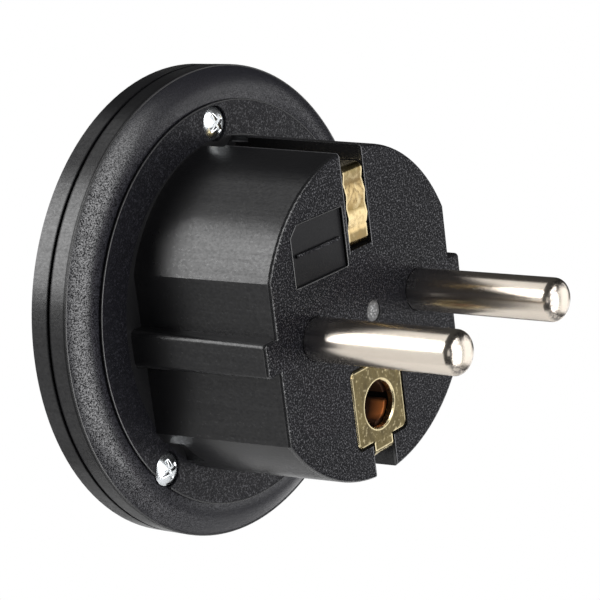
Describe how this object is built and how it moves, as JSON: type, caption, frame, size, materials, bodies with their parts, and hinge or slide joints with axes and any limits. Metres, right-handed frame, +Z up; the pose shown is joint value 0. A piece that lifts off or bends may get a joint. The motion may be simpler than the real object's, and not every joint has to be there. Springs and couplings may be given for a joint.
{
  "type": "plug adapter",
  "caption": "Round travel plug adapter with an earthed round-pin plug behind a flanged disc and a multi-standard socket in front.",
  "frame": {"origin": "centre of the face that the plug pins leave, midway between the pins", "axes": "pins point along -Y, the socket faces +Y, +Z is up through the upper earth clip, +X is right"},
  "size_m": [0.0536, 0.0441, 0.0536],
  "materials": {
    "housing": "fine grain",
    "cover": "satin",
    "pins": "polished nickel",
    "contacts": "bright",
    "earth_brass": "rolled",
    "sleeve": "copper-coloured",
    "screws": "zinc"
  },
  "bodies": {
    "root": {"plug_housing": "housing", "front_cover": "cover", "line_pin": "pins", "neutral_pin": "pins", "line_contact": "contacts", "neutral_contact": "contacts", "socket_earth_contact": "contacts", "earth_top_clip": "earth_brass", "earth_bottom_plate": "earth_brass", "earth_bridge": "earth_brass", "earth_pin_sleeve": "sleeve", "earth_rivets": "screws", "bridge_screw": "screws", "cover_screws": "screws"}
  },
  "joints": []
}
